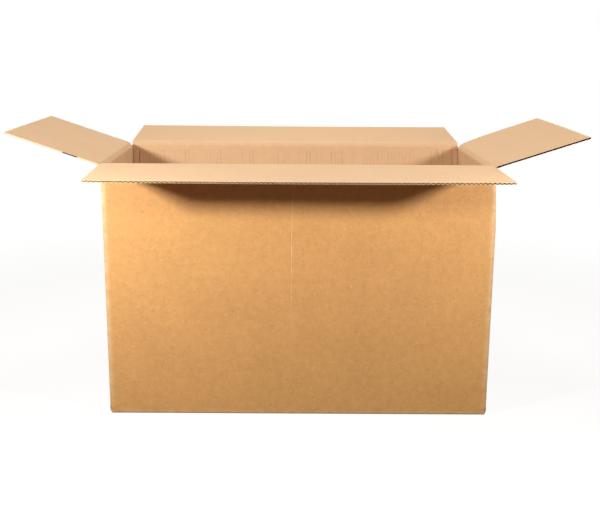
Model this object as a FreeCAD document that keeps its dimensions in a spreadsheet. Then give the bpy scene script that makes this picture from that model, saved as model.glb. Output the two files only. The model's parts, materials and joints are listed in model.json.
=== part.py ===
import FreeCAD, Part
import os
import Sketcher

# Open shipping carton folded from one blank of single-wall corrugated board, in millimetres.
# The origin is the centre of its underside, +X runs along its length and +Z is up.
# The four walls, the glued tab and the closed bottom flaps are one folded solid.
# The four top flaps turn on their creases, so each of them is a solid of its own.

driving_sizes = {
    # outside of the carton, and the height of the two long creases above the floor
    "boxLength": 600,
    "boxWidth": 300,
    "boxHeight": 400,
    # B-flute board: two flat liners with a waved medium between them
    "boardThickness": 3.0,
    "linerThickness": 0.3,
    "mediumThickness": 0.25,
    "flutePitch": 6.5,
    "fluteEdgeMargin": 0.8,
    # folds
    "wallFoldRadius": 3.0,
    "bottomFoldRadius": 0.5,
    "creaseGap": 0.3,
    "creaseCrush": 6.0,
    # slots between neighbouring flaps, and the play between their layers
    "slotClearance": 1.5,
    "slotDepth": 1.5,
    "bottomSlotHeight": 2.5,
    "layerGap": 0.3,
    "seamGap": 1.5,
    # glued joint inside the back right corner
    "tabWidth": 37.0,
    "tabTaper": 2.0,
    "glueThickness": 0.2,
    "glueMargin": 5.0,
    "wallEndGap": 1.0,
    # tape along the bottom seam and up both ends
    "tapeWidth": 48.0,
    "tapeThickness": 0.1,
    "tapeTurnUp": 60.0,
    # how far each open flap rises above level, in degrees
    "frontTilt": -1.5,
    "backTilt": 5.5,
    "leftTilt": 18.5,
    "rightTilt": 18.0,
}

# Lengths that several sub-parts share, as expressions of the sheet's cells.
half_length = "Sizes.boxLength / 2"
half_width = "Sizes.boxWidth / 2"
board = "Sizes.boardThickness"
wall_outer_radius = "(Sizes.wallFoldRadius + Sizes.boardThickness)"
bottom_outer_radius = "(Sizes.bottomFoldRadius + Sizes.boardThickness)"
layer_step = "(Sizes.boardThickness + Sizes.layerGap)"
slot_inset = "(Sizes.boardThickness + Sizes.slotClearance)"
long_flap_half = f"({half_length} - {slot_inset})"
short_flap_half = f"({half_width} - {slot_inset})"
flap_depth = "(Sizes.boxWidth / 2 - Sizes.seamGap / 2)"
axis_offset = "Sizes.creaseGap / 2"
crease_setback = "(Sizes.creaseGap * (1 + sqrt(2)) / 2)"
long_crease = "Sizes.boxHeight"
short_crease = f"(Sizes.boxHeight - {layer_step})"
bottom_fold_top = f"({layer_step} + {bottom_outer_radius} + {board})"
tab_face = f"({half_width} - {board} - Sizes.glueThickness)"
tab_floor = f"({layer_step} + {board} + Sizes.layerGap)"
tab_top = f"({short_crease} - {axis_offset} - {board} - Sizes.layerGap)"
cut_beyond = board


def make_sheet(doc, sizes):
    """One cell for each driving size, under its own alias."""
    sheet = doc.addObject("Spreadsheet::Sheet", "Sizes")
    for row, (alias, value) in enumerate(sizes.items(), start=1):
        sheet.set(f"A{row}", alias)
        sheet.set(f"B{row}", str(value))
        sheet.setAlias(f"B{row}", alias)
    doc.recompute()
    return sheet


def new_sketch(body, name, plane_role, offset=None):
    """An empty sketch on one of the body's own planes, moved along its normal if asked."""
    sketch = body.newObject("Sketcher::SketchObject", name)
    plane = next(p for p in body.Origin.OriginFeatures if p.Role == plane_role)
    sketch.AttachmentSupport = (plane, [""])
    sketch.MapMode = "FlatFace"
    if offset is not None:
        sketch.setExpression("AttachmentOffset.Base.z", offset)
    return sketch


def bind(sketch, kind, geometry, vertex, expression):
    """Hold one vertex at a distance from the sketch's origin, given by an expression."""
    value = float(sketch.evalExpression(expression))
    row = sketch.addConstraint(Sketcher.Constraint(kind, -1, 1, geometry, vertex, value))
    sketch.setExpression(f"Constraints[{row}]", expression)


def add_outline(sketch, corners):
    """Draw a closed outline. A corner is (x, y), or (x, y, centre, turn) where an arc leaves it."""
    count = len(corners)
    places = [
        FreeCAD.Vector(*(float(sketch.evalExpression(value)) for value in corner[:2]), 0)
        for corner in corners
    ]
    first = sketch.GeometryCount
    starts = []
    for index, corner in enumerate(corners):
        start = places[index]
        end = places[(index + 1) % count]
        if len(corner) == 2:
            sketch.addGeometry(Part.LineSegment(start, end), False)
            starts.append(1)
            continue
        centre = FreeCAD.Vector(*(float(sketch.evalExpression(value)) for value in corner[2]), 0)
        turns_left = corner[3] == "left"
        circle = Part.Circle(centre, FreeCAD.Vector(0, 0, 1), start.distanceToPoint(centre))
        arc_ends = (start, end) if turns_left else (end, start)
        angles = [circle.parameter(place) for place in arc_ends]
        sketch.addGeometry(Part.ArcOfCircle(circle, *angles), False)
        starts.append(1 if turns_left else 2)
    for index, corner in enumerate(corners):
        geometry = first + index
        before = first + (index - 1) % count
        vertex_before = 3 - starts[(index - 1) % count]
        sketch.addConstraint(
            Sketcher.Constraint("Coincident", before, vertex_before, geometry, starts[index])
        )
        bind(sketch, "DistanceX", geometry, starts[index], corner[0])
        bind(sketch, "DistanceY", geometry, starts[index], corner[1])
        if len(corner) > 2:
            bind(sketch, "DistanceX", geometry, 3, corner[2][0])


def volume_of(body):
    """Volume of the body's last feature."""
    body.Document.recompute()
    return body.Tip.Shape.Volume


def pad(body, name, sketch, length, both_ways=False):
    """Add material from a sketch along its normal, or half of the length to each side."""
    feature = body.newObject("PartDesign::Pad", name)
    feature.Profile = sketch
    feature.SideType = "Symmetric" if both_ways else "One side"
    feature.setExpression("Length", length)
    body.Document.recompute()
    return feature


def pocket(body, name, sketch, length, both_ways=False, along_normal=False):
    """Cut a sketch out of the body, and make sure that it did cut."""
    volume_before = volume_of(body)
    feature = body.newObject("PartDesign::Pocket", name)
    feature.Profile = sketch
    feature.SideType = "Symmetric" if both_ways else "One side"
    feature.Reversed = along_normal
    feature.setExpression("Length", length)
    if not volume_of(body) < volume_before:
        raise RuntimeError(f"{name} cuts nothing")
    return feature


def rectangle(left, bottom, right, top):
    """Corners of an upright rectangle, for add_outline."""
    return [(left, bottom), (right, bottom), (right, top), (left, top)]


def mirrored(corners):
    """The same corners on the other side of the sketch's vertical axis."""
    return [(f"-({x})", y) for x, y in corners]


def add_walls(body):
    """Four walls bent from one strip, which ends at the back right corner."""
    radius = wall_outer_radius
    inner_x = f"{half_length} - {board}"
    inner_y = f"{half_width} - {board}"
    centre_x = f"{half_length} - {radius}"
    centre_y = f"{half_width} - {radius}"
    back_left = (f"-({centre_x})", centre_y)
    front_left = (f"-({centre_x})", f"-({centre_y})")
    front_right = (centre_x, f"-({centre_y})")
    back_end = f"{half_length} - Sizes.wallEndGap"
    right_end = f"{tab_face} - {radius}"
    sketch = new_sketch(body, "wall_plan", "XY_Plane", "Sizes.bottomSlotHeight")
    add_outline(
        sketch,
        [
            (back_end, half_width),
            (back_left[0], half_width, back_left, "left"),
            (f"-({half_length})", back_left[1]),
            (f"-({half_length})", front_left[1], front_left, "left"),
            (front_left[0], f"-({half_width})"),
            (front_right[0], f"-({half_width})", front_right, "left"),
            (half_length, front_right[1]),
            (half_length, right_end),
            (inner_x, right_end),
            (inner_x, front_right[1], front_right, "right"),
            (front_right[0], f"-({inner_y})"),
            (front_left[0], f"-({inner_y})", front_left, "right"),
            (f"-({inner_x})", front_left[1]),
            (f"-({inner_x})", back_left[1], back_left, "right"),
            (back_left[0], inner_y),
            (back_end, inner_y),
        ],
    )
    pad(body, "walls", sketch, f"{long_crease} - Sizes.bottomSlotHeight")


def add_crease_mitres(body):
    """Slope the wall tops down to the inside, where the board is crushed for the fold."""
    long_top = f"{long_crease} - {crease_setback}"
    run = f"({board} + {cut_beyond})"
    long_side = [
        (f"{half_width} + {cut_beyond}", f"{long_top} + {cut_beyond}"),
        (f"{half_width} - {run}", f"{long_top} + {cut_beyond}"),
        (f"{half_width} - {run}", f"{long_top} - {run}"),
    ]
    sketch = new_sketch(body, "long_mitre_section", "YZ_Plane")
    add_outline(sketch, long_side)
    add_outline(sketch, mirrored(long_side))
    pocket(body, "long_mitres", sketch, "Sizes.boxLength", both_ways=True)

    short_top = f"{short_crease} - {crease_setback}"
    clear_top = f"{long_crease} + {cut_beyond}"
    short_side = [
        (f"{half_length} + {cut_beyond}", f"{short_top} + {cut_beyond}"),
        (f"{half_length} + {cut_beyond}", clear_top),
        (f"{half_length} - {run}", clear_top),
        (f"{half_length} - {run}", f"{short_top} - {run}"),
    ]
    sketch = new_sketch(body, "short_mitre_section", "XZ_Plane")
    add_outline(sketch, short_side)
    add_outline(sketch, mirrored(short_side))
    pocket(body, "short_mitres", sketch, f"2 * {short_flap_half}", both_ways=True)


def add_corner_slots(body):
    """Cut each corner down past the creases, where a slot parts two flaps."""
    slot_floor = f"{short_crease} - {crease_setback} - Sizes.slotDepth"
    sketch = new_sketch(body, "top_slot_plan", "XY_Plane", slot_floor)
    for x_sign in ("", "-"):
        for y_sign in ("", "-"):
            inner_x = f"{x_sign}{long_flap_half}"
            inner_y = f"{y_sign}{short_flap_half}"
            outer_x = f"{x_sign}({half_length} + {cut_beyond})"
            outer_y = f"{y_sign}({half_width} + {cut_beyond})"
            add_outline(sketch, rectangle(inner_x, inner_y, outer_x, outer_y))
    depth = f"{long_crease} + {cut_beyond} - ({slot_floor})"
    pocket(body, "top_slots", sketch, depth, along_normal=True)


def bottom_flap_section(half_span, fold_floor, reach):
    """Section of a bottom flap and its fold, from the wall in to the flap's free edge."""
    outer = f"({half_span})"
    floor = f"({fold_floor})"
    bend = f"{outer} - {bottom_outer_radius}"
    centre = (bend, f"{floor} + {bottom_outer_radius}")
    return [
        (reach, floor),
        (bend, floor, centre, "left"),
        (outer, centre[1]),
        (outer, bottom_fold_top),
        (f"{outer} - {board}", bottom_fold_top),
        (f"{outer} - {board}", centre[1], centre, "right"),
        (bend, f"{floor} + {board}"),
        (reach, f"{floor} + {board}"),
    ]


def opposite_section(section):
    """A bottom flap's section on the other side, with its arcs turning the other way."""
    turned = {"left": "right", "right": "left"}
    return [
        (f"-({corner[0]})", corner[1])
        if len(corner) == 2
        else (
            f"-({corner[0]})",
            corner[1],
            (f"-({corner[2][0]})", corner[2][1]),
            turned[corner[3]],
        )
        for corner in section
    ]


def add_bottom_flaps(body):
    """Short flaps folded in first, long flaps folded over them to the seam."""
    below = f"-{cut_beyond}"
    wall_zone = f"{board} + {cut_beyond}"
    for name, plane, half_span, half_flap in (
        ("long_side_foot", "YZ_Plane", half_width, long_flap_half),
        ("short_side_foot", "XZ_Plane", half_length, short_flap_half),
    ):
        zone = rectangle(
            f"{half_span} - ({wall_zone})", below, f"{half_span} + {cut_beyond}", bottom_fold_top
        )
        sketch = new_sketch(body, f"{name}_section", plane)
        add_outline(sketch, zone)
        add_outline(sketch, mirrored(zone))
        pocket(body, name, sketch, f"2 * {half_flap}", both_ways=True)

    long_flap = bottom_flap_section(half_width, "0", "Sizes.seamGap / 2")
    short_flap = bottom_flap_section(half_length, layer_step, f"{half_length} - {flap_depth}")
    for name, plane, section, half_flap in (
        ("bottom_long_flaps", "YZ_Plane", long_flap, long_flap_half),
        ("bottom_short_flaps", "XZ_Plane", short_flap, short_flap_half),
    ):
        sketch = new_sketch(body, f"{name}_section", plane)
        add_outline(sketch, section)
        add_outline(sketch, opposite_section(section))
        pad(body, name, sketch, f"2 * {half_flap}", both_ways=True)


def add_glued_tab(body):
    """Tab bent in from the right wall and glued behind the end of the back wall."""
    radius = wall_outer_radius
    centre = (f"{half_length} - {radius}", f"{tab_face} - {radius}")
    free_edge = f"{half_length} - Sizes.tabWidth"
    sketch = new_sketch(body, "tab_plan", "XY_Plane", tab_floor)
    add_outline(
        sketch,
        [
            (half_length, centre[1], centre, "left"),
            (centre[0], tab_face),
            (free_edge, tab_face),
            (free_edge, f"{tab_face} - {board}"),
            (centre[0], f"{tab_face} - {board}", centre, "right"),
            (f"{half_length} - {board}", centre[1]),
        ],
    )
    pad(body, "tab", sketch, f"{tab_top} - {tab_floor}")

    glue_end = f"{centre[0]} - Sizes.glueMargin"
    glue_start = f"{free_edge} + Sizes.glueMargin"
    glue_floor = f"{tab_floor} + Sizes.glueMargin"
    sketch = new_sketch(body, "glue_plan", "XY_Plane", glue_floor)
    add_outline(sketch, rectangle(glue_start, tab_face, glue_end, f"{half_width} - {board}"))
    pad(body, "glue", sketch, f"{tab_top} - Sizes.glueMargin - ({glue_floor})")

    # both ends of the tab slope away from the creases towards its free edge
    rise = "Sizes.tabWidth * tan(Sizes.tabTaper * 1deg)"
    sketch = new_sketch(body, "tab_slope_section", "XZ_Plane", f"-{tab_face}")
    for edge, outward in ((tab_top, "+"), (tab_floor, "-")):
        inward = "-" if outward == "+" else "+"
        beyond = f"{edge} {outward} {cut_beyond}"
        add_outline(
            sketch,
            [
                (half_length, edge),
                (half_length, beyond),
                (f"{free_edge} - {cut_beyond}", beyond),
                (f"{free_edge} - {cut_beyond}", f"{edge} {inward} {rise}"),
            ],
        )
    pocket(body, "tab_slopes", sketch, radius, along_normal=True)


def tape_section(depth):
    """Closed outline of the tape in the carton's long section, from its inner face to its outer."""
    outer = half_length
    turn_x = long_flap_half
    radius = slot_inset
    inner = f"{half_length} - {depth}"
    right = (turn_x, radius)
    left = (f"-{turn_x}", radius)
    return [
        (f"-({outer})", "Sizes.tapeTurnUp"),
        (f"-({outer})", radius, left, "left"),
        (f"-{turn_x}", "0"),
        (turn_x, "0", right, "left"),
        (outer, radius),
        (outer, "Sizes.tapeTurnUp"),
        (inner, "Sizes.tapeTurnUp"),
        (inner, radius, right, "right"),
        (turn_x, depth),
        (f"-{turn_x}", depth, left, "right"),
        (f"-({inner})", radius),
        (f"-({inner})", "Sizes.tapeTurnUp"),
    ]


def make_carton_body(doc):
    """Walls, glued tab and closed bottom, folded from the one blank."""
    body = doc.addObject("PartDesign::Body", "carton_body")
    add_walls(body)
    add_crease_mitres(body)
    add_corner_slots(body)
    add_bottom_flaps(body)
    add_glued_tab(body)
    sketch = new_sketch(body, "tape_seat_section", "XZ_Plane")
    add_outline(sketch, tape_section("Sizes.tapeThickness"))
    pocket(body, "tape_seat", sketch, "Sizes.tapeWidth", both_ways=True)
    return body


def make_bottom_tape(doc):
    """Tape pressed flush into the liners over the bottom seam and up the end walls."""
    body = doc.addObject("PartDesign::Body", "bottom_tape")
    sketch = new_sketch(body, "tape_section", "XZ_Plane")
    add_outline(sketch, tape_section("Sizes.tapeThickness"))
    pad(body, "tape", sketch, "Sizes.tapeWidth", both_ways=True)
    return body


def make_top_flap(doc, name, half_flap, hinge, heading, tilt):
    """A flap with open flutes at its cut edge, drawn level and pointing along +Y from its hinge."""
    body = doc.addObject("PartDesign::Body", name)
    under = axis_offset
    upper = f"({axis_offset} + {board})"
    sketch = new_sketch(body, f"{name}_section", "YZ_Plane")
    add_outline(
        sketch,
        [
            (crease_setback, under),
            (flap_depth, under),
            (flap_depth, upper),
            (f"{crease_setback} + {board}", upper),
        ],
    )
    pad(body, f"{name}_board", sketch, f"2 * {half_flap}", both_ways=True)

    # between the liners the medium crosses from face to face once in each half pitch
    pitch = "Sizes.flutePitch"
    medium = "Sizes.mediumThickness"
    gap_height = f"({board} - 2 * Sizes.linerThickness - {medium})"
    run = gap_height
    lean = f"({medium} * (sqrt({gap_height}^2 + {run}^2) - {run}) / {gap_height})"
    crest = f"(({pitch} / 2 - {lean} - {run}) / 2)"
    foot = f"({crest} + {run})"
    span = f"(2 * {half_flap} - 2 * Sizes.fluteEdgeMargin - {pitch} / 2 - 2 * {foot})"
    flutes = f"(floor({span} / {pitch}) + 1)"
    first = f"(-(({flutes} - 1) * {pitch} + {pitch} / 2) / 2)"
    second = f"({first} + {pitch} / 2)"
    floor = f"({under} + Sizes.linerThickness)"
    ceiling = f"({upper} - Sizes.linerThickness)"
    sketch = new_sketch(body, f"{name}_flute_section", "XZ_Plane", f"-{flap_depth}")
    add_outline(
        sketch,
        [
            (f"{first} - {foot}", floor),
            (f"{first} + {foot}", floor),
            (f"{first} + {crest}", f"{floor} + {gap_height}"),
            (f"{first} - {crest}", f"{floor} + {gap_height}"),
        ],
    )
    add_outline(
        sketch,
        [
            (f"{second} - {foot}", ceiling),
            (f"{second} - {crest}", f"{ceiling} - {gap_height}"),
            (f"{second} + {crest}", f"{ceiling} - {gap_height}"),
            (f"{second} + {foot}", ceiling),
        ],
    )
    length = f"{flap_depth} - Sizes.creaseCrush"
    gap_pair = pocket(body, f"{name}_flute", sketch, length, along_normal=True)

    volume_before = volume_of(body)
    pattern = body.newObject("PartDesign::LinearPattern", f"{name}_flutes")
    pattern.Originals = [gap_pair]
    pattern.Direction = (sketch, ["H_Axis"])
    pattern.setExpression("Length", f"({flutes} - 1) * {pitch}")
    pattern.setExpression("Occurrences", flutes)
    body.Tip = pattern
    if not volume_of(body) < volume_before:
        raise RuntimeError(f"{name}_flutes cuts nothing")

    place = f"create(<<vector>>; {hinge[0]}; {hinge[1]}; {hinge[2]})"
    turn = f"create(<<rotation>>; {heading}; 0; {tilt})"
    body.setExpression("Placement", f"create(<<placement>>; {place}; {turn})")
    return body


def make_top_flaps(doc):
    """Long flaps at front and back, short ones at the ends, with creases one layer lower."""
    hinge_y = f"{half_width} + {axis_offset}"
    hinge_x = f"{half_length} + {axis_offset}"
    return [
        make_top_flap(doc, name, half_flap, hinge, heading, tilt)
        for name, half_flap, hinge, heading, tilt in (
            ("front_flap", long_flap_half, ("0", f"-({hinge_y})", long_crease), 180, "Sizes.frontTilt"),
            ("back_flap", long_flap_half, ("0", hinge_y, long_crease), 0, "Sizes.backTilt"),
            ("left_flap", short_flap_half, (f"-({hinge_x})", "0", short_crease), 90, "Sizes.leftTilt"),
            ("right_flap", short_flap_half, (hinge_x, "0", short_crease), -90, "Sizes.rightTilt"),
        )
    ]


def check_and_write(doc, parts):
    """Stop on any failed object, then write one file for each sub-part."""
    doc.recompute()
    failed = [
        item.Label
        for item in doc.Objects
        if "Invalid" in item.State or "Error" in item.State
    ]
    if failed:
        raise RuntimeError(f"failed objects: {failed}")
    for part in parts:
        shape = part.Shape
        if shape.isNull() or not shape.isValid():
            raise RuntimeError(f"{part.Label} has no valid shape")
        if len(shape.Solids) != 1:
            raise RuntimeError(f"{part.Label} is {len(shape.Solids)} solids")
    os.makedirs("parts", exist_ok=True)
    for part in parts:
        part.Shape.exportStep(f"parts/{part.Label}.step")
        box = part.Shape.BoundBox
        size = [round(length, 1) for length in (box.XLength, box.YLength, box.ZLength)]
        print(part.Label, size, f"{len(part.Shape.Faces)} faces", f"{part.Shape.Volume:.0f} mm3")


document = FreeCAD.newDocument("Carton")
make_sheet(document, driving_sizes)
pieces = [make_carton_body(document), make_bottom_tape(document)]
pieces += make_top_flaps(document)
check_and_write(document, pieces)
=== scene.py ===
import json
import math

import bmesh
import bpy
import numpy as np
from mathutils import Matrix, Vector


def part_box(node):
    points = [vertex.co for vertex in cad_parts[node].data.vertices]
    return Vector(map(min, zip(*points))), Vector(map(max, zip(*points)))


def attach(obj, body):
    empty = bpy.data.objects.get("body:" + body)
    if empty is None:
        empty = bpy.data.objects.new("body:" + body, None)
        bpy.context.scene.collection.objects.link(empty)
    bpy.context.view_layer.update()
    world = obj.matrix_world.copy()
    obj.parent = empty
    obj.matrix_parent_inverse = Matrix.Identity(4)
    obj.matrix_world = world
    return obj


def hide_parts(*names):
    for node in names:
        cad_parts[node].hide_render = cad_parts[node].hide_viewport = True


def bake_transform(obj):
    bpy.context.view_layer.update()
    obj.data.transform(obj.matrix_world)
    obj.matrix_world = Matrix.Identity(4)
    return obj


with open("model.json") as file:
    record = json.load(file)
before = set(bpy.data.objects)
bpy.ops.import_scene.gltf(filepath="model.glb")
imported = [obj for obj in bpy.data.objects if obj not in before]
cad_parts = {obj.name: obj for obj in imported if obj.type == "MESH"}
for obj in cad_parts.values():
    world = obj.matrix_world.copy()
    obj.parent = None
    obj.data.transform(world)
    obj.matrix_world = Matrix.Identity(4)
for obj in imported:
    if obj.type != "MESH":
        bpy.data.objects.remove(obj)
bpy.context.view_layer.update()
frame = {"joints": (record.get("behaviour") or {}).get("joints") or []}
mm = 0.001

print("Reading the sizes of the carton from the frame")
joints = {joint["child"]: joint for joint in frame["joints"]}
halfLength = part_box("carton_body")[1].x
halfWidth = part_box("carton_body")[1].y
board = {
    "thickness": 3.0 * mm,
    "liner": 0.35 * mm,  # the real liner is 0.3 and the medium 0.2, too fine to show where they are cut
    "medium": 0.25 * mm,
    "cutMedium": 0.7 * mm,  # the medium's own cut edge
    "flutePitch": 6.5 * mm,  # common B flute
    "wallColumns": 6,  # mesh columns to a flute
    "flapColumns": 8,
    "foldRadius": 6.0 * mm,  # outside of the wall folds
    "bottomRadius": 3.5 * mm,  # outside of the bottom folds
    "hingeSide": 0.15 * mm,  # a top crease turns this far outside its wall
    "lowBand": 12.0 * mm,  # between these two heights a wall is plain board
    "highBand": 388.0 * mm,
    "outerRelief": 0.03 * mm,  # how far a liner sinks between two flute tips
    "innerRelief": 0.05 * mm,
    "wallRelief": 0.3 * mm,  # the same inside the walls
    "cutMargin": 0.8 * mm,  # board pinched shut by the knife beside a flute
    "pinchReach": 4.0 * mm,
    "tornBack": 0.9,  # the share of that margin by which torn board is set back
    "tipSink": 0.4,  # the share of its thickness by which a flute's tip sinks into the glue
    "fluteDrift": ((0.5, 23.0 * mm), (0.3, 7.1 * mm)),  # no two flutes lie quite evenly
    "sagReach": 150.0 * mm,  # a flap's depth
    "twistReach": 40.0 * mm,
}


# A mesh is gathered as grids of points. Each point also has its place on the flat sheet, in metres, and a
# mark:
# above nought it is paler, partly rubbed by handling and partly painted highlight; below nought it is painted
# shade.

def newParts():
    return {"points": [], "sheet": [], "marks": [], "faces": [], "slots": [], "count": 0}


def addGrid(parts, points, sheet, slot, marks=0.0):
    points = np.asarray(points, float)
    rows, columns = points.shape[:2]
    index = parts["count"] + np.arange(rows * columns).reshape(rows, columns)
    quads = np.stack([index[:-1, :-1], index[:-1, 1:], index[1:, 1:], index[1:, :-1]], -1).reshape(-1, 4)
    parts["points"].append(points.reshape(-1, 3))
    parts["sheet"].append(np.broadcast_to(sheet, (rows, columns, 2)).reshape(-1, 2))
    parts["marks"].append(np.broadcast_to(marks, (rows, columns)).reshape(-1))
    parts["faces"].append(quads)
    parts["slots"].append(np.full(len(quads), slot))
    parts["count"] += rows * columns


def makePiece(name, parts, materials):
    smoothAngle = 40.0
    weld = 0.002 * mm  # grids that share an edge become one surface
    points = np.concatenate(parts["points"])
    faces = np.concatenate(parts["faces"])
    mesh = bpy.data.meshes.new(name)
    mesh.from_pydata(points.tolist(), [], faces.tolist())
    for material in materials:
        mesh.materials.append(material)
    mesh.polygons.foreach_set("material_index", np.concatenate(parts["slots"]).astype(np.int32))
    sheet = mesh.uv_layers.new(name="sheet")
    corners = np.concatenate(parts["sheet"])[faces.reshape(-1)]
    sheet.data.foreach_set("uv", corners.astype(np.float32).ravel())
    wearAndPaintedLight = mesh.attributes.new("wearAndPaintedLight", "FLOAT", "POINT")
    wearAndPaintedLight.data.foreach_set("value", np.concatenate(parts["marks"]).astype(np.float32))
    work = bmesh.new()
    work.from_mesh(mesh)
    bmesh.ops.remove_doubles(work, verts=work.verts, dist=weld)
    bmesh.ops.recalc_face_normals(work, faces=work.faces)
    work.to_mesh(mesh)
    work.free()
    mesh.polygons.foreach_set("use_smooth", np.ones(len(mesh.polygons), bool))
    mesh.set_sharp_from_angle(angle=math.radians(smoothAngle))
    piece = bpy.data.objects.new(name, mesh)
    bpy.context.scene.collection.objects.link(piece)
    print(f"  {name}: {len(mesh.polygons)} faces")
    return piece


# Materials

def linear(hexColour):
    values = [int(hexColour[i:i + 2], 16) / 255 for i in (1, 3, 5)]
    return [v / 12.92 if v <= 0.04045 else ((v + 0.055) / 1.055) ** 2.4 for v in values] + [1.0]


def perMm(size):
    return 1.0 / (size * mm)


def addNode(tree, kind, links=None, **settings):
    # a link may be a node, one of its sockets or a plain value
    node = tree.nodes.new("ShaderNode" + kind)
    for name, value in settings.items():
        setattr(node, name, value)
    for name, value in (links or {}).items():
        if isinstance(value, bpy.types.Node):
            value = value.outputs[0]
        if isinstance(value, bpy.types.NodeSocket):
            tree.links.new(value, node.inputs[name])
        else:
            node.inputs[name].default_value = value
    return node


def newMaterial(name):
    material = bpy.data.materials.new(name)
    material.use_nodes = True
    tree = material.node_tree
    tree.nodes.clear()
    return material, tree


# Kraft liner is unbleached long fibre paper: warm brown, dull with a faint calendered sheen,
# cloudy from uneven fibre, with short fibres lying across the flutes and a few dark and pale flecks.
def kraftPaper(name, look):
    material, tree = newMaterial(name)
    sheet = addNode(tree, "UVMap", uv_map="sheet")
    place = addNode(tree, "Mapping", {0: sheet, "Location": look["offset"]})
    length, width = perMm(look["fibreLength"]), perMm(look["fibreWidth"])
    across = addNode(tree, "Mapping", {0: place, "Scale": (length, width, 1)})
    upright = addNode(tree, "Mapping", {0: place, "Scale": (width, length, 1)})
    noises = {
        "mottle": {"Vector": place, "Scale": perMm(look["mottleSize"]), "Detail": 3.0},
        "cloud": {"Vector": place, "Scale": perMm(look["cloudSize"]), "Detail": 5.0, "Roughness": 0.55},
        "fibre": {"Vector": across, "Scale": 1.0, "Detail": 3.0, "Distortion": 1.5},
        "strand": {"Vector": upright, "Scale": 1.0, "Detail": 2.0, "Distortion": 1.5},
        "speck": {"Vector": place, "Scale": perMm(look["fleckSize"]), "Detail": 2.0, "Distortion": 1.0},
    }
    mottle, cloud, fibre, strand, speck = (
        addNode(tree, "TexNoise", links, noise_dimensions="2D") for links in noises.values())
    # noise seldom leaves 0.3 to 0.7, so its far ends make a few flecks
    pale = addNode(tree, "MapRange", {"Value": speck, "From Min": 0.64, "From Max": 0.74})
    dark = addNode(tree, "MapRange", {"Value": speck, "From Min": 0.36, "From Max": 0.26})
    tone = 1.0 - 0.5 * (look["mottle"] + look["cloud"] + look["fibre"] + look["strand"])
    for source, amount in ((mottle, "mottle"), (cloud, "cloud"), (fibre, "fibre"), (strand, "strand"),
                           (pale, "fleck"), (dark, "darkFleck")):
        tone = addNode(tree, "Math", {0: source, 1: look[amount], 2: tone}, operation="MULTIPLY_ADD")
    # handling rubs the folds and edges paler, more where the fibre stands up, and painted highlights use the
    # same paler colour; marks below nought darken it, which is painted shade in dents, corners and creases
    wearAndPaintedLight = addNode(tree, "Attribute", attribute_name="wearAndPaintedLight").outputs["Fac"]
    crushed = addNode(tree, "Math", {0: wearAndPaintedLight, 1: 0.0}, operation="MINIMUM")
    tone = addNode(tree, "Math", {0: crushed, 1: look["crushed"], 2: tone}, operation="MULTIPLY_ADD")
    colour = addNode(tree, "HueSaturation", {"Color": linear(look["colour"]), "Value": tone})
    rubbedAndHighlight = addNode(tree, "Math", {0: cloud, 1: wearAndPaintedLight}, operation="MULTIPLY", use_clamp=True)
    share = addNode(tree, "Math", {0: rubbedAndHighlight, 1: look["rubbedAndHighlight"]}, operation="MULTIPLY", use_clamp=True)
    worn = addNode(tree, "Mix", {0: share, 6: colour, 7: linear(look["rubbedAndHighlightColour"])}, data_type="RGBA")
    height = 0.0
    for source, amount in ((fibre, "fibreHeight"), (strand, "fibreHeight"), (cloud, "cloudHeight"),
                           (speck, "fleckHeight")):
        height = addNode(tree, "Math", {0: source, 1: look[amount], 2: height}, operation="MULTIPLY_ADD")
    bump = addNode(tree, "Bump", {"Strength": 1.0, "Distance": mm, "Height": height})
    roughness = addNode(tree, "Math", {0: cloud, 1: look["sheenSpread"], 2: look["roughness"]},
                        operation="MULTIPLY_ADD")
    shader = addNode(tree, "BsdfPrincipled", {
        "Base Color": worn.outputs[2], "Roughness": roughness, "Normal": bump,
        "IOR": 1.47, "Specular IOR Level": look["specular"]})
    addNode(tree, "OutputMaterial", {"Surface": shader})
    return material


# The outer liner is pressed smooth on the machine. Its fibres are 0.05 mm wide, too fine to show, so
# they are drawn 2 mm wide.
outerLook = {
    "colour": "#D59D5E", "offset": (0.0, 0.0, 0.0),
    "mottleSize": 70.0, "mottle": 0.14, "cloudSize": 12.0, "cloud": 0.22,
    "fibreLength": 12.0, "fibreWidth": 2.0, "fibre": 0.13, "strand": 0.09,
    "fleckSize": 3.4, "fleck": 0.16, "darkFleck": -0.16,
    # the strength of the painted shade, and the share and colour of the paler marks, rubbed and painted
    # highlight
    "crushed": 0.6, "rubbedAndHighlight": 0.9, "rubbedAndHighlightColour": "#EFCFA0",
    "fibreHeight": 0.08, "cloudHeight": 0.20, "fleckHeight": 0.16,  # millimetres
    "roughness": 0.58, "sheenSpread": 0.12, "specular": 0.4,
}
innerLook = dict(
    outerLook, colour="#E0B78B", rubbedAndHighlightColour="#FFEBC8", offset=(3.1, 1.7, 0.0),
    mottle=0.06, cloud=0.10, fibre=0.06, strand=0.05, fleck=0.04, darkFleck=-0.04,
    cloudHeight=0.10, fibreHeight=0.05, fleckHeight=0.05, roughness=0.64, specular=0.35)
# The knife leaves the board's cut edge furred and dusty.
edgeLook = dict(
    outerLook, colour="#DAB88D", offset=(1.3, 4.1, 0.0), fibreLength=1.5, fibre=0.2,
    cloudSize=1.5, cloud=0.25, roughness=0.85, specular=0.2)
# Fluting medium is rougher recycled paper. Hardly any light gets in between the liners, so the medium and the
# hollow are drawn much darker than the paper is: painted shade, so that the flutes show.
mediumPaintedShadeLook = dict(
    outerLook, colour="#100804", offset=(5.3, 2.2, 0.0), fibre=0.12, cloud=0.12, roughness=0.85,
    specular=0.1)
boardMaterials = [
    kraftPaper("outer_liner_calendered_kraft", outerLook),
    kraftPaper("inner_liner_kraft", innerLook),
    kraftPaper("liner_edge_knife_cut", edgeLook),
    kraftPaper("fluting_medium_painted_shade", mediumPaintedShadeLook),
]
outerSlot, innerSlot, edgeSlot, mediumPaintedShadeSlot = range(4)


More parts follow.
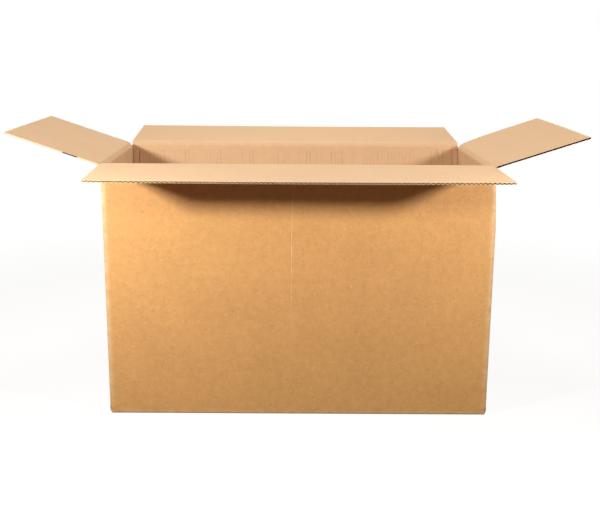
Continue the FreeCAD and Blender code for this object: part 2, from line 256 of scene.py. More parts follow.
# Packing tape is biaxially stretched polypropylene film: thin, tan and smooth with a soft gloss,
# and paler streaks where air is caught over the flutes.
def packingTape(name, look):
    material, tree = newMaterial(name)
    sheet = addNode(tree, "UVMap", uv_map="sheet")
    size = (perMm(look["streakLength"]), perMm(look["streakWidth"]), 1)
    streak = addNode(tree, "Mapping", {0: sheet, "Scale": size})
    air = addNode(tree, "TexNoise", {"Vector": streak, "Scale": 1.0, "Detail": 2.0}, noise_dimensions="2D")
    caught = addNode(tree, "MapRange", {
        "Value": air, "From Min": look["airFrom"], "From Max": look["airTo"], "To Max": look["air"]})
    colour = addNode(tree, "Mix", {0: caught, 6: linear(look["colour"]), 7: linear(look["airColour"])},
                     data_type="RGBA")
    bump = addNode(tree, "Bump", {"Strength": 0.4, "Distance": look["airHeight"] * mm, "Height": air})
    shader = addNode(tree, "BsdfPrincipled", {
        "Base Color": colour.outputs[2], "Normal": bump, "Roughness": look["roughness"], "IOR": 1.49,
        "Specular IOR Level": look["specular"]})
    addNode(tree, "OutputMaterial", {"Surface": shader})
    return material


tapeFilm = packingTape("packing_tape_polypropylene_film", {
    "colour": "#A87645", "airColour": "#C0925F", "air": 0.6, "airFrom": 0.52, "airTo": 0.7,
    "airHeight": 0.05, "streakLength": 40.0, "streakWidth": 3.0,
    "roughness": 0.38, "specular": 0.2,
})


# Walls: one sheet folded round three corners, with a tab glued behind the back wall at the fourth

walls = {
    "rows": 9,
    "cutEndGap": 1.0 * mm,  # the back wall stops this short of the corner
    "tabWidth": 41.0 * mm,
    "tabGlue": 0.2 * mm,
    "tabLow": 6.6 * mm,
    "tabHigh": 393.25 * mm,
    "tabSlope": 2.0,  # degrees
    "postLow": 2.5 * mm,  # bottom of the corner slots
    "postHigh": 394.84 * mm,
    "slotInset": 3.3 * mm,  # flaps stop this far from the corners
    "longBow": 0.9 * mm,
    "shortBow": 0.5 * mm,
    # the paler strip along a fold, partly rubbed and partly painted highlight
    "foldMark": 5.0 * mm,
    "foldPlain": 8.0 * mm,  # no flutes show this near a fold
    "crushFrom": 11.5 * mm,  # a dent beside each fold, from the folding rule
    "crushWidth": 1.3 * mm,
    "crushDepth": 0.7 * mm,
    # painted shade in those dents and in the inside corners, which are also sunk
    "crushShade": 0.8,
    "cornerWidth": 2.3 * mm,
    "cornerDepth": 0.9 * mm,
    "puckerShade": 0.6,  # how dark the painted shade in a puckered hollow is
    "puckerEdge": 0.4,  # how narrow it is
    "puckerShare": 0.35,  # how many hollows have one
    "puckerWaves": (211.0, 97.0),  # how close together they gather, in radians to a metre
    "unevenWaves": (61.0, 143.0),  # and the same for where the liner sinks more or less
    "ridgeFrom": -12.0 * mm,  # a pressed line down the front wall, this far from its middle
    "ridgeHeight": 0.45 * mm,
    "ridgeWidth": 1.2 * mm,
    "ridgeFoot": 130.0 * mm,
    "ridgeFade": 120.0 * mm,
    "ridgeWander": ((0.7 * mm, 17.0 * mm), (0.4 * mm, 5.3 * mm)),
    # a painted highlight on the raised side of the pressed line and painted shade on its sunk side
    "ridgeHighlight": 0.9,
    "ridgeShade": 0.16,
    # mesh columns added for the dents, the corners and the pressed line
    "foldColumns": np.array([-13.5, -12.5, -11.5, -10.5, -9.5, -1.5, -0.75, 0.0,
                             0.75, 1.5, 9.5, 10.5, 11.5, 12.5, 13.5]) * mm,
    "ridgeColumns": np.linspace(-3.0, 3.0, 13) * mm,
    "leastColumn": 0.3 * mm,
}


def traceWalls():
    # the outside of the box from above: places, the way the board faces and distances along the sheet
    radius = board["foldRadius"]
    middle = radius - board["thickness"] / 2
    tabFace = halfWidth - board["thickness"] - walls["tabGlue"]
    x, y = halfLength - radius, halfWidth - radius
    corners = [(-x, y, 90), (-x, -y, 180), (x, -y, 270), (x, tabFace - radius, 360)]
    step = 0.25 * mm
    turnSteps = 48
    at = np.array([halfLength - walls["cutEndGap"], halfWidth])
    points, normals, distance, folds = [], [], [], []
    done = 0.0
    for cornerX, cornerY, degrees in corners:
        angle = math.radians(degrees)
        facing = np.array([math.cos(angle), math.sin(angle)])
        centre = np.array([cornerX, cornerY])
        reach = centre + radius * facing - at
        length = np.hypot(*reach)
        share = np.linspace(0, 1, int(length / step), endpoint=False)
        points.append(at + share[:, None] * reach)
        normals.append(np.tile(facing, (len(share), 1)))
        distance.append(done + share * length)
        done += length
        turn = angle + np.linspace(0, math.pi / 2, turnSteps, endpoint=False)
        facings = np.stack([np.cos(turn), np.sin(turn)], -1)
        points.append(centre + radius * facings)
        normals.append(facings)
        distance.append(done + middle * (turn - angle))
        folds.append(done + middle * math.pi / 4)
        done += middle * math.pi / 2
        at = centre + radius * np.array([-math.sin(angle), math.cos(angle)])
    length = at[0] - (halfLength - walls["tabWidth"])
    points.append(np.array([at, at - [length, 0]]))
    normals.append(np.array([[0.0, 1.0], [0.0, 1.0]]))
    distance.append(np.array([done, done + length]))
    return np.concatenate(points), np.concatenate(normals), np.concatenate(distance), folds


wallPoints, wallNormals, wallDistance, foldPlaces = traceWalls()
wallEnd = wallDistance[-1]
backCentre = halfLength - walls["cutEndGap"]
leftCentre = (foldPlaces[0] + foldPlaces[1]) / 2
frontCentre = (foldPlaces[1] + foldPlaces[2]) / 2
rightCentre = foldPlaces[2] + (leftCentre - foldPlaces[0])


def near(gap, width):
    # 1 at the place itself, falling to nothing over twice the width
    return np.exp(-(gap / width) ** 2)


def foldGap(s):
    return np.min([np.abs(s - fold) for fold in foldPlaces], axis=0)


def washboard(s, phase=0.0):
    # the liner sinks between flute tips, not by the same amount everywhere
    flute = 2 * math.pi * s / board["flutePitch"] + phase
    slow, quick = walls["unevenWaves"]
    uneven = 0.75 + 0.2 * np.sin(slow * s + phase) + 0.2 * np.sin(quick * s + 2.0 + phase)
    return 0.5 * (np.cos(flute) - 1.0) * uneven


def panelBow(s, z):
    share = (z - board["lowBand"]) / (board["highBand"] - board["lowBand"])
    rise = np.sin(np.pi * np.clip(share, 0, 1)) ** 2
    edges = [0.0] + foldPlaces
    bow = np.zeros(np.broadcast(s, z).shape)
    for i, amount in enumerate([walls["longBow"], walls["shortBow"]] * 2):
        across = (s - edges[i]) / (edges[i + 1] - edges[i])
        hump = amount * np.sin(np.pi * np.clip(across, 0, 1)) ** 2
        bow = bow + np.where((across > 0) & (across < 1), hump, 0.0)
    return bow * rise


def besideRidge(s, z):
    # how far from the pressed line, in its widths, and how plain it is at that height
    line = frontCentre + walls["ridgeFrom"]
    for swing, period in walls["ridgeWander"]:
        line = line + swing * np.sin(z / period)
    fade = np.clip((z - walls["ridgeFoot"]) / walls["ridgeFade"], 0, 1) * (z < board["highBand"])
    return (s - line) / walls["ridgeWidth"], fade


def ridge(s, z):
    # raised at one side of the line and sunk at the other
    aside, fade = besideRidge(s, z)
    return fade * walls["ridgeHeight"] * aside * np.exp(0.5 - aside ** 2)


def wallSurface(s, z, inside):
    x, y = (np.interp(s, wallDistance, wallPoints[:, i]) for i in (0, 1))
    facing = np.stack([np.interp(s, wallDistance, wallNormals[:, i]) for i in (0, 1)], -1)
    facing /= np.linalg.norm(facing, axis=-1, keepdims=True)
    gap = foldGap(s)
    plain = 1.0 - near(gap, walls["foldPlain"])
    out = panelBow(s, z)
    if inside:
        dent = walls["crushDepth"] * near(gap - walls["crushFrom"], walls["crushWidth"])
        dent = dent + walls["cornerDepth"] * near(gap, walls["cornerWidth"])
        sunk = board["wallRelief"] * plain * washboard(s, math.pi)
        out = out - board["thickness"] - sunk + dent
    else:
        out = out + board["outerRelief"] * plain * washboard(s) + ridge(s, z)
    x, y, out = np.broadcast_arrays(x, y, out)
    across, along = x + facing[..., 0] * out, y + facing[..., 1] * out
    return np.stack([across, along, np.broadcast_to(z, out.shape)], -1)


def outerMarks(s, z):
    # the folds are paler, partly rubbed and partly painted highlight; the pressed line has a painted
    # highlight on its raised side and painted shade on its sunk side
    aside, fade = besideRidge(s, z)
    pressed = walls["ridgeHighlight"] * near(aside - 0.6, 0.5) - walls["ridgeShade"] * near(aside + 0.8, 0.5)
    return near(foldGap(s), walls["foldMark"]) + fade * pressed


def innerMarks(s):
    # painted shade: the dents beside the folds, the corners and some hollows where the liner has puckered are
    # darker
    gap = foldGap(s)
    dent = walls["crushShade"] * near(gap - walls["crushFrom"], walls["crushWidth"])
    hollow = np.clip(np.cos(2 * math.pi * s / board["flutePitch"]) - walls["puckerEdge"], 0, 1)
    first, second = walls["puckerWaves"]
    chosen = np.clip(np.sin(first * s) * np.sin(second * s) + walls["puckerShare"], 0, 1)
    return -dent - near(gap, walls["cornerWidth"]) - walls["puckerShade"] * hollow * chosen


def addWall(parts, start, end, low, high, rows):
    # low and high are heights, or functions of the distance along the sheet
    columns = max(2, int(round((end - start) / board["flutePitch"] * board["wallColumns"]))) + 1
    finer = np.concatenate([fold + walls["foldColumns"] for fold in foldPlaces]
                           + [frontCentre + walls["ridgeFrom"] + walls["ridgeColumns"]])
    finer = finer[(finer > start + walls["leastColumn"]) & (finer < end - walls["leastColumn"])]
    s = np.unique(np.concatenate([np.linspace(start, end, columns), finer]))[None, :]
    lowest = low(s) if callable(low) else np.full(s.shape, low)
    highest = high(s) if callable(high) else np.full(s.shape, high)
    z = lowest + (highest - lowest) * np.linspace(0, 1, rows + 1)[:, None]
    outer = wallSurface(s, z, False)
    inner = wallSurface(s, z, True)
    sheet = np.stack(np.broadcast_arrays(s, z), -1)
    addGrid(parts, outer, sheet, outerSlot, outerMarks(s, z))
    addGrid(parts, inner, sheet, innerSlot, innerMarks(s))
    for row in (0, -1):
        edge = np.stack([sheet[row], sheet[row] + [0, board["thickness"]]])
        addGrid(parts, np.stack([outer[row], inner[row]]), edge, edgeSlot)
    for column in (0, -1):
        edge = np.stack([sheet[:, column], sheet[:, column] + [board["thickness"], 0]])
        addGrid(parts, np.stack([outer[:, column], inner[:, column]]), edge, edgeSlot)


# Flaps: the board from its crease to its cut edge, with open flutes along that edge. Its layers are
# the inner face, the inside of the inner liner, the inside of the outer liner and the outer face.

def placeOn(origin, along, outward):
    # turns distances along the crease, outward and up into points
    origin, along, outward = np.array(origin), np.array(along), np.array(outward)
    up = np.array([0.0, 0.0, 1.0])
    return lambda u, a, b: origin + u[..., None] * along + a[..., None] * outward + b[..., None] * up


def addSideCuts(parts, layers, sheet, side):
    # two liner edges and the board between them, set back where it has opened
    inner, ceiling, floor, outer = layers
    torn = side["torn"]
    for end, inward, depth in ((0, 1, side["set"][0]), (-1, -2, side["set"][1])):
        back = np.full(len(sheet), depth / board["cutMargin"])
        if end == -1 and torn.stop:
            back[torn.start + 1:torn.stop - 1] = board["tornBack"]
        for skin in (ceiling, floor):
            skin[:, end] += (skin[:, inward] - skin[:, end]) * back[:, None]
        strip = np.stack([sheet[:, end], sheet[:, end] + [board["liner"], 0]])
        addGrid(parts, np.stack([inner[:, end], ceiling[:, end]]), strip, innerSlot)
        addGrid(parts, np.stack([floor[:, end], outer[:, end]]), strip, innerSlot)
        for rows in (slice(0, torn.start + 1), torn, slice(max(torn.stop - 1, 0), None)):
            if len(sheet[rows]) > 1:
                # an opened cut shows the medium's dark colour, painted shade
                opened = depth > 0 or (end == -1 and rows == torn)
                between = np.stack([ceiling[rows, end], floor[rows, end]])
                addGrid(parts, between, strip[:, rows], mediumPaintedShadeSlot if opened else innerSlot)


def addEnds(parts, layers, sheet, lip):
    # the wall end of the piece, then the liner edges along the cut and the board shut at its corners
    inner, ceiling, floor, outer = layers
    for upper, lower in zip(layers, layers[1:]):
        addGrid(parts, np.stack([upper[0], lower[0]]), sheet[:2], edgeSlot)
    addGrid(parts, np.stack([inner[-1], ceiling[-1]]), lip, edgeSlot)
    addGrid(parts, np.stack([floor[-1], outer[-1]]), lip, edgeSlot)
    for ends in (slice(0, 2), slice(-2, None)):
        addGrid(parts, np.stack([ceiling[-1, ends], floor[-1, ends]]), lip[:, ends], edgeSlot)


def addFlutes(parts, layers, sheet, lip, least):
    # the hollow between the liners, drawn in the medium's dark colour, which is painted shade
    inner, ceiling, floor, outer = (layer[:, 1:-1] for layer in layers)
    flat, lip = sheet[:, 1:-1], lip[:, 1:-1]
    addGrid(parts, ceiling, flat, mediumPaintedShadeSlot)
    addGrid(parts, floor, flat, mediumPaintedShadeSlot)
    addGrid(parts, np.stack([ceiling[0], floor[0]]), lip, mediumPaintedShadeSlot)
    strip = sheet[:, :2].transpose(1, 0, 2)
    for end in (0, -1):
        addGrid(parts, np.stack([ceiling[:, end], floor[:, end]]), strip, mediumPaintedShadeSlot)
    # and the medium in it, a closed wavy sheet glued to both liners at its tips
    wave = flat[:1, :, 0]
    swing = 0.5 - (board["liner"] + board["tipSink"] * board["medium"]) / board["thickness"]
    bend = 2 * math.pi * swing * board["thickness"] / board["flutePitch"]
    phase = 2 * math.pi * wave / board["flutePitch"]
    for amount, period in board["fluteDrift"]:
        phase = phase + amount * np.sin(wave / period)
    slope = bend * np.sin(phase)
    rows = np.arange(len(flat))
    swell = np.where(rows < len(flat) - 2, board["medium"], board["cutMedium"])[:, None]
    half = 0.5 * swell / board["thickness"] * np.sqrt(1 + slope ** 2)
    level = 0.5 + swing * np.cos(phase)
    span = inner - outer
    over = outer + span * np.minimum(level + half, 1 - least)[..., None]
    under = outer + span * np.maximum(level - half, least)[..., None]
    addGrid(parts, over, flat, mediumPaintedShadeSlot)
    addGrid(parts, under, flat, mediumPaintedShadeSlot)
    addGrid(parts, np.stack([over[0], under[0]]), lip, mediumPaintedShadeSlot)
    addGrid(parts, np.stack([over[-1], under[-1]]), lip, edgeSlot)
    strip = flat[:, :2].transpose(1, 0, 2)
    for end in (0, -1):
        addGrid(parts, np.stack([over[:, end], under[:, end]]), strip, mediumPaintedShadeSlot)


def addFlap(parts, place, section, side):
    # section has matching rows for both faces; the flap runs from -side["low"] to side["high"]
    low, high = side["low"], side["high"]
    lowCut, highCut = low - board["cutMargin"], high - board["cutMargin"]
    count = int(round((lowCut + highCut) / board["flutePitch"] * section["columns"]))
    u = np.concatenate([[-low], np.linspace(-lowCut, highCut, count + 1), [high]])[None, :]
    flute = side["centre"] + u
    inner, outer, along = section["inner"], section["outer"], section["along"]
    through = inner - outer
    thick = np.linalg.norm(through, axis=1, keepdims=True)
    normal = through / thick
    loose, plain = section["loose"][:, None], section["plain"][:, None]
    # the flap sags between its side cuts and twists up towards one of them
    past = np.maximum(along - section["crease"], 0)[:, None]
    aside = 2 * (u + low) / (low + high) - 1
    sag = side["sag"] * (1 - aside ** 2) * (past / board["sagReach"]) ** 2
    lift = loose * (sag + side["twist"] * 0.5 * (1 + aside) * (1 - np.exp(-past / board["twistReach"])))
    # the knife squeezes the board along both side cuts
    pinch = side["pinch"][0] * np.exp(-(u + low) / board["pinchReach"])
    pinch = pinch + side["pinch"][1] * np.exp(-(high - u) / board["pinchReach"])
    innerLift = lift + plain * board["innerRelief"] * washboard(flute, math.pi)
    outerLift = lift - plain * board["outerRelief"] * washboard(flute) + loose * pinch
    faces = []
    for face, amount in ((inner, innerLift), (outer, outerLift)):
        outward, upward = face[:, :1] + normal[:, :1] * amount, face[:, 1:] + normal[:, 1:] * amount
        faces.append(place(u + 0 * amount, outward, upward))
    inner, outer = faces
    sheet = np.stack(np.broadcast_arrays(flute, along[:, None]), -1)
    addGrid(parts, inner, sheet, innerSlot, section["innerMarks"][:, None])
    addGrid(parts, outer, sheet, outerSlot, section["marks"][:, None])
    lining = board["liner"] / thick
    ceiling = inner + (outer - inner) * lining[:, None]
    floor = outer + (inner - outer) * lining[:, None]
    layers = [inner, ceiling, floor, outer]
    lip = np.stack([sheet[-1], sheet[-1] + [0, board["liner"]]])
    addSideCuts(parts, layers, sheet, side)
    addEnds(parts, layers, sheet, lip)
    first = section["openFrom"]
    addFlutes(parts, [layer[first:] for layer in layers], sheet[first:], lip, lining[first:])


# A top crease: the board is crushed to a thin web there, bent up from the wall's top to the flap
creases = {
    "root": 3.36 * mm,  # the crushed board starts this far from the crease
    "soft": 1.5 * mm,  # and the liner rounds into it over this length
    "softRows": 5,
    "straight": 0.55,  # how far it has run towards the scored line when it is straight again
    "score": 0.8 * mm,  # the scored line inside, and its half width and depth
    "scoreHalf": 0.5 * mm,
    "scoreDepth": 0.18 * mm,
    "bend": 0.36 * mm,  # points this far on each side of the crease, worked out but not used
    # distances from the crease of the mesh rows outside it, and then of those on both faces of the flap;
    # the flutes are open from the first of the second lot, and its last is the cut edge
    "outerRows": np.array([6.4, 4.8, 3.4, 2.2, 1.2, 0.5]) * mm,
    "flapRows": np.array([8.0, 14.0, 30.0, 36.0, 39.0, 56.0, 59.0, 90.0, 120.0, 138.0, 146.0, 148.2,
                          149.25]) * mm,
    "plainFrom": 6.0 * mm,  # the flutes show from here on
    "plainOver": 2.5 * mm,
    "rubbedAndHighlight": 0.5,  # outside: a painted highlight along the crease
    "rubbedAndHighlightWidth": 2.5 * mm,
    "crushed": 0.2,  # inside: painted shade along the crease
    "crushedWidth": 3.0 * mm,
    "cutEdgeHighlight": 1.6,  # inside: a painted highlight along the cut edge
    "cutWidth": 1.3 * mm,
}


def bezier(start, control, end):
    t = np.linspace(0, 1, creases["softRows"])[:, None]
    return (1 - t) ** 2 * start + 2 * t * (1 - t) * control + t ** 2 * end


def topSection(tilt, crease):
    # The wall's top and the flap as one bent sheet, seen along the crease: a is outward, b is up
    t, side = board["thickness"], board["hingeSide"]
    root, soft, straight = creases["root"], creases["soft"], creases["straight"]
    down, flapRows = creases["outerRows"], creases["flapRows"]
    angle = math.radians(tilt)
    away = np.array([math.cos(angle), math.sin(angle)])
    upward = np.array([-math.sin(angle), math.cos(angle)])
    wallInner = np.array([-t - side, -root])
    flapInner = root * away + (side + t) * upward
    middle = upward + np.array([-1.0, 0.0])
    middle /= np.linalg.norm(middle)
    chord = np.array([middle[1], -middle[0]])
    score = creases["score"] * middle
    web = np.array([score - creases["scoreHalf"] * chord, score - creases["scoreDepth"] * middle,
                    score + creases["scoreHalf"] * chord])
    corner = np.array([-side, side * (1 - math.sin(angle)) / math.cos(angle)])
    wallRows = np.linspace(board["highBand"] - crease, -root - soft, 3)[:-1]
    inner = np.concatenate([
        np.stack([np.full(2, -t - side), wallRows], -1),
        bezier(wallInner - [0, soft], wallInner, wallInner + (score - wallInner) * straight),
        web,
        bezier(flapInner + (score - flapInner) * straight, flapInner, flapInner + soft * away),
        flapRows[:, None] * away + (side + t) * upward])
    outer = np.concatenate([
        np.stack([np.full(2, -side), wallRows], -1),
        np.stack([np.full(len(down), -side), -down], -1),
        corner[None, :],
        down[::-1, None] * away + side * upward,
        flapRows[:, None] * away + side * upward])
    along = crease + np.concatenate([wallRows, -down, [0.0], down[::-1], flapRows])
    openFrom = len(along) - len(flapRows)
    gap = np.abs(along - crease)
    return {
        "inner": inner, "outer": outer, "along": along, "crease": crease, "openFrom": openFrom,
        "columns": board["flapColumns"],
        "plain": np.clip((gap - creases["plainFrom"]) / creases["plainOver"], 0, 1),
        "loose": (np.arange(len(along)) >= openFrom).astype(float),
        "marks": creases["rubbedAndHighlight"] * near(gap, creases["rubbedAndHighlightWidth"]),
        "innerMarks": (creases["cutEdgeHighlight"] * near(along[-1] - along, creases["cutWidth"])
                       - creases["crushed"] * near(gap, creases["crushedWidth"])),
        "start": -creases["bend"] * chord, "end": creases["bend"] * chord,
    }


# A bottom fold, and its flap under the box
folds = {
    "turnRows": 5,
    "flapRows": np.array([8.0, 20.0, 90.0, 130.0, 149.25]) * mm,
    "openRows": 3,  # open flutes, seen only at the cut edge
    "plainFrom": 3.0 * mm,
    "plainOver": 4.0 * mm,
    "rubbedAndHighlight": 0.9,
    "rubbedAndHighlightWidth": 3.5 * mm,
}


def bottomSection(raised):
    # A wall's foot and its bottom flap: round the fold, then level towards the middle
    t, radius = board["thickness"], board["bottomRadius"]
    turn = np.linspace(0, math.pi / 2, folds["turnRows"])
    facing = np.stack([np.cos(turn), -np.sin(turn)], -1)
    centre = np.array([-radius, raised + radius])
    wallRows = np.linspace(board["lowBand"], raised + radius, 3)[:-1]
    level = -folds["flapRows"]
    outer, inner = (np.concatenate([
        np.stack([0 * wallRows - depth, wallRows], -1),
        centre + (radius - depth) * facing,
        np.stack([level, np.full(len(level), raised + depth)], -1)]) for depth in (0.0, t))
    steps = np.linalg.norm(np.diff(outer, axis=0), axis=1)
    along = board["lowBand"] - np.concatenate([[0], np.cumsum(steps)])
    gap = np.abs(along - (raised + 0.5 * radius))
    return {
        "inner": inner, "outer": outer, "along": along, "crease": 0.0,
        "openFrom": len(along) - folds["openRows"], "columns": board["wallColumns"],
        "plain": np.clip((gap - folds["plainFrom"]) / folds["plainOver"], 0, 1),
        "loose": np.zeros(len(along)),
        "marks": folds["rubbedAndHighlight"] * near(gap, folds["rubbedAndHighlightWidth"]),
        "innerMarks": np.zeros(len(along)),
    }


# "low" and "high" are where a flap ends along its crease. "pinch" is how much the knife squeezed each
# side cut, "set" how far back the board lies between its liners there, and "torn" the rows that opened.
longReach = halfLength - walls["slotInset"]
shortReach = halfWidth - walls["slotInset"]
shut = slice(0, 0)
sides = {
    "front_flap": {  # cut a little short at its right end
        "normal": (0, -1, 0), "along": (1, 0, 0), "centre": frontCentre,
        "low": longReach, "high": longReach - 3.0 * mm,
        "pinch": (0.6 * mm, 0.6 * mm), "set": (0.0, 0.0), "torn": shut,
        "sag": -0.8 * mm, "twist": 0.0},
    "back_flap": {
        "normal": (0, 1, 0), "along": (-1, 0, 0), "centre": backCentre,
        "low": longReach, "high": longReach,
        "pinch": (0.4 * mm, 0.4 * mm), "set": (0.0, 0.0), "torn": shut,
        "sag": -0.6 * mm, "twist": 0.0},
    "left_flap": {
        "normal": (-1, 0, 0), "along": (0, -1, 0), "centre": leftCentre,
        "low": shortReach, "high": shortReach,
        "pinch": (0.4 * mm, 1.6 * mm), "set": (0.0, 0.0), "torn": slice(18, 22),
        "sag": 0.5 * mm, "twist": 0.0},
    "right_flap": {
        "normal": (1, 0, 0), "along": (0, 1, 0), "centre": rightCentre,
        "low": shortReach, "high": shortReach,
        "pinch": (0.2 * mm, 0.4 * mm), "set": (0.35 * mm, 0.0), "torn": shut,
        "sag": 0.5 * mm, "twist": 4.0 * mm},
}
shortRaise = 3.3 * mm  # the short bottom flaps lie on the long ones


# The box stands a little out of square: its foot has moved forward, most at the right, and the right
# wall bulges.
stance = {"forward": 7.0 * mm, "turn": 4.0 * mm, "bulge": 5.0 * mm, "bulgeRise": 80.0 * mm}


def stand(points):
    points = np.array(points, float)
    x = points[..., 0] / halfLength
    drop = np.clip(walls["postHigh"] - points[..., 2], 0, None)
    rightward = np.clip(0.5 + 0.5 * x, 0, 1) ** 2
    points[..., 1] -= (stance["forward"] + stance["turn"] * x) * drop / walls["postHigh"]
    points[..., 0] += stance["bulge"] * rightward * np.clip(drop / stance["bulgeRise"], 0, 1)
    return points


print("Folding the walls and the bottom")
body = newParts()
addWall(body, 0.0, wallEnd, board["lowBand"], board["highBand"], walls["rows"])
edges = []
for name, reach in (("back_flap", longReach), ("left_flap", shortReach), ("front_flap", longReach),
                    ("right_flap", shortReach)):
    edges += [sides[name]["centre"] - reach, sides[name]["centre"] + reach]


def tabRise(s):
    # the tab slopes away from the corner, which is full height
    return np.maximum(s - foldPlaces[3], 0) * math.tan(math.radians(walls["tabSlope"]))


posts = [(0.0, edges[0]), (edges[1], edges[2]), (edges[3], edges[4]), (edges[5], edges[6])]
for start, end in posts:
    addWall(body, start, end, board["highBand"], walls["postHigh"], 1)
    addWall(body, start, end, walls["postLow"], board["lowBand"], 1)
addWall(body, edges[7], wallEnd, board["highBand"], lambda s: walls["tabHigh"] - tabRise(s), 1)
addWall(body, edges[7], wallEnd, lambda s: walls["tabLow"] + tabRise(s), board["lowBand"], 1)
for side in sides.values():
    across = side["normal"][0] == 0
    origin = (halfWidth if across else halfLength) * np.array(side["normal"], float)
    reach = longReach if across else shortReach
    foot = dict(side, low=reach, high=reach, pinch=(0.0, 0.0), set=(0.0, 0.0), torn=shut)
    place = placeOn(origin, side["along"], side["normal"])
    addFlap(body, place, bottomSection(0.0 if across else shortRaise), foot)
body["points"] = [stand(points) for points in body["points"]]
carton = makePiece("carton_board", body, boardMaterials)
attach(carton, "carton")
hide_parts("carton_body")

print("Cutting the four top flaps")
for name, side in sides.items():
    hinge = joints[name]
    tilt = 180.0 - hinge["range_deg"][1]
    section = topSection(tilt, hinge["pos_m"][2])
    parts = newParts()
    addFlap(parts, placeOn(hinge["pos_m"], side["along"], side["normal"]), section, side)
    parts["points"] = [stand(points) for points in parts["points"]]
    flap = makePiece(name + "_board", parts, boardMaterials)
    origin, outward, upright = Vector(hinge["pos_m"]), Vector(side["normal"]), Vector((0, 0, 1))
    start, end = (origin + outward * p[0] + upright * p[1] for p in (section["start"], section["end"]))
    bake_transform(flap)
    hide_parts(name)

print("Laying the tape along the bottom seam")
tape = {
    "width": 48.0 * mm,
    "turnUp": 60.0 * mm,
    "proud": 0.06 * mm,
    "thickness": 0.1 * mm,
    "columns": 8,
    "sideRows": 8,
    "turnRows": 5,
    "underRows": 30,
    # it is pressed round the foot of the end wall and on to the long bottom flap
    "stepOut": 0.3 * mm,
    "stepHeight": 0.6 * mm,
    "stepIn": 0.4 * mm,
    "levelFrom": 5.0 * mm,
}


def tapePath(offset):
    # up one end wall, under the box and up the other, lying on the board
    x = halfLength + offset
    raised, radius = shortRaise, board["bottomRadius"]
    turn = np.linspace(0, math.pi / 4, tape["turnRows"])
    centre = np.array([halfLength - radius, raised + radius])
    arc = centre + (radius + offset) * np.stack([np.cos(turn), -np.sin(turn)], -1)
    foot = np.array([[longReach + tape["stepOut"] + offset, tape["stepHeight"]],
                     [longReach - tape["stepIn"], -offset]])
    heights = np.linspace(tape["turnUp"], raised + radius, tape["sideRows"] + 1)[:-1]
    side = np.stack([np.full(len(heights), x), heights], -1)
    right = np.concatenate([side, arc, foot])
    level = np.linspace(longReach - tape["levelFrom"], 0, tape["underRows"])
    under = np.stack([level, np.full(len(level), -offset)], -1)
    half = np.concatenate([right, under])
    return np.concatenate([half, half[-2::-1] * [-1, 1]])


film = newParts()
across = np.linspace(-0.5, 0.5, tape["columns"] + 1) * tape["width"]
skins = []
for offset in (tape["proud"], tape["proud"] - tape["thickness"]):
    line = tapePath(offset)
    points = np.stack([np.stack([line[:, 0], np.full(len(line), y), line[:, 1]], -1) for y in across], 1)
    skins.append(points)
run = np.concatenate([[0], np.cumsum(np.linalg.norm(np.diff(tapePath(0.0), axis=0), axis=1))])
laid = np.stack(np.broadcast_arrays(run[:, None], across[None, :]), -1)
for skin in skins:
    addGrid(film, skin, laid, 0)
for row in (0, -1):
    addGrid(film, np.stack([skins[0][row], skins[1][row]]), laid[:2], 0)
for column in (0, -1):
    addGrid(film, np.stack([skins[0][:, column], skins[1][:, column]]), laid[:, :2].transpose(1, 0, 2), 0)
film["points"] = [stand(points) for points in film["points"]]
tapePiece = makePiece("bottom_tape_film", film, [tapeFilm])
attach(tapePiece, "carton")
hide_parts("bottom_tape")

print("Setting the floor, the lights and the camera")


def seenDirectly(tree):
    # the camera, and gloss and glass, see the white studio; the light on the object comes from the lamps
    path = addNode(tree, "LightPath")
    bright = addNode(tree, "Math", {0: path.outputs["Is Glossy Ray"], 1: path.outputs["Is Transmission Ray"]},
                     operation="MAXIMUM")
    return addNode(tree, "Math", {0: path.outputs["Is Camera Ray"], 1: bright}, operation="MAXIMUM")


studio = {
    "white": "#FFFFFF", "ambient": 0.02,
    "floorHalf": 12.0, "floorDrop": 0.1 * mm, "floorColour": "#6E6863",
    "near": 0.9, "far": 1.6, "lift": 0.9,  # the floor's own white, which leaves room for the object's shadow
}
world = bpy.data.worlds.new("studio")
bpy.context.scene.world = world
world.use_nodes = True
tree = world.node_tree
tree.nodes.clear()
ambient = addNode(tree, "Background", {"Color": linear(studio["white"]), "Strength": studio["ambient"]})
backdrop = addNode(tree, "Background", {"Color": linear(studio["white"]), "Strength": 1.0})
both = addNode(tree, "MixShader", {0: seenDirectly(tree), 1: ambient, 2: backdrop})
addNode(tree, "OutputWorld", {"Surface": both})

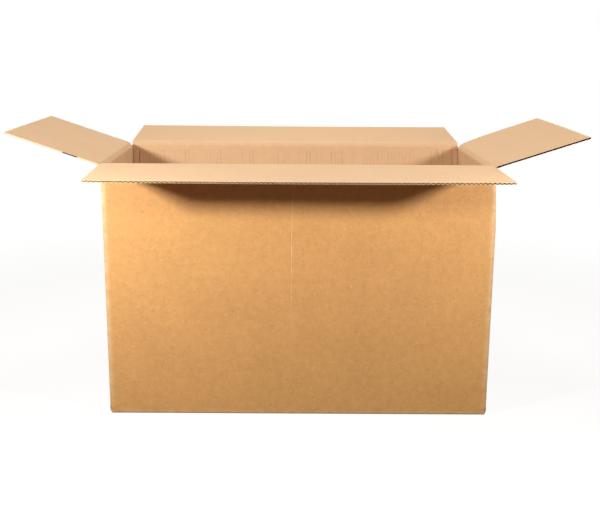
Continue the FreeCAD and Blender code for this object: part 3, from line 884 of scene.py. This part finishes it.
half = studio["floorHalf"]
floorMesh = bpy.data.meshes.new("studio_floor")
corners = [(-half, -half, 0), (half, -half, 0), (half, half, 0), (-half, half, 0)]
floorMesh.from_pydata(corners, [], [(0, 1, 2, 3)])
floor = bpy.data.objects.new("studio_floor", floorMesh)
floor.location = (0, 0, -studio["floorDrop"])
bpy.context.scene.collection.objects.link(floor)
floorPaint, tree = newMaterial("studio_floor_matt")
where = addNode(tree, "TexCoord").outputs["Object"]
reach = addNode(tree, "VectorMath", {0: where}, operation="LENGTH").outputs["Value"]
lift = addNode(tree, "MapRange", {"Value": reach, "From Min": studio["near"], "From Max": studio["far"],
                                  "To Min": studio["lift"], "To Max": 1.0})
strength = addNode(tree, "Math", {0: seenDirectly(tree), 1: lift}, operation="MULTIPLY")
glow = addNode(tree, "Emission", {"Color": linear(studio["white"]), "Strength": strength})
paint = addNode(tree, "BsdfDiffuse", {"Color": linear(studio["floorColour"])})
addNode(tree, "OutputMaterial", {"Surface": addNode(tree, "AddShader", {0: glow, 1: paint})})
floorMesh.materials.append(floorPaint)

lamps = {
    "left_softbox": {"place": (-0.56, -0.6, 0.522), "aim": (0.0, -0.15, 0.3), "size": 0.06, "power": 5.8},
    "right_softbox": {"place": (0.584, -0.585, 0.526), "aim": (0.0, -0.15, 0.3), "size": 0.06, "power": 3.8},
    "top_softbox": {"place": (0.0, 0.3, 1.6), "aim": (0.0, -0.15, 0.3), "size": 0.6, "power": 13.3},
}
for name, lamp in lamps.items():
    data = bpy.data.lights.new(name, "AREA")
    data.shape = "SQUARE"
    data.size = lamp["size"]
    data.energy = lamp["power"]
    light = bpy.data.objects.new(name, data)
    light.location = lamp["place"]
    light.rotation_euler = (Vector(lamp["aim"]) - Vector(lamp["place"])).to_track_quat("-Z", "Y").to_euler()
    bpy.context.scene.collection.objects.link(light)

view = {
    "place": (-0.0292, -1.5282, 0.5888), "down": 14.04, "yaw": 1.33, "roll": 0.54,
    "focal": 915.9, "imageWidth": 600,  # both in pixels of the photograph's frame
    "sensor": 36.0, "from": 0.05, "to": 50.0,
}
camera = bpy.data.objects.new("camera", bpy.data.cameras.new("camera"))
down, yaw, roll = (math.radians(view[key]) for key in ("down", "yaw", "roll"))
forward = Vector((math.sin(yaw) * math.cos(down), math.cos(yaw) * math.cos(down), -math.sin(down)))
level = Vector((math.cos(yaw), -math.sin(yaw), 0.0))
above = level.cross(forward)
right = math.cos(roll) * level + math.sin(roll) * above
top = math.cos(roll) * above - math.sin(roll) * level
camera.matrix_world = Matrix((right, top, -forward)).transposed().to_4x4()
camera.location = view["place"]
camera.data.sensor_width = view["sensor"]
camera.data.lens = view["focal"] / view["imageWidth"] * view["sensor"]
camera.data.clip_start, camera.data.clip_end = view["from"], view["to"]
bpy.context.scene.collection.objects.link(camera)
bpy.context.scene.camera = camera
bpy.context.scene.view_settings.view_transform = "Standard"

print("Done")
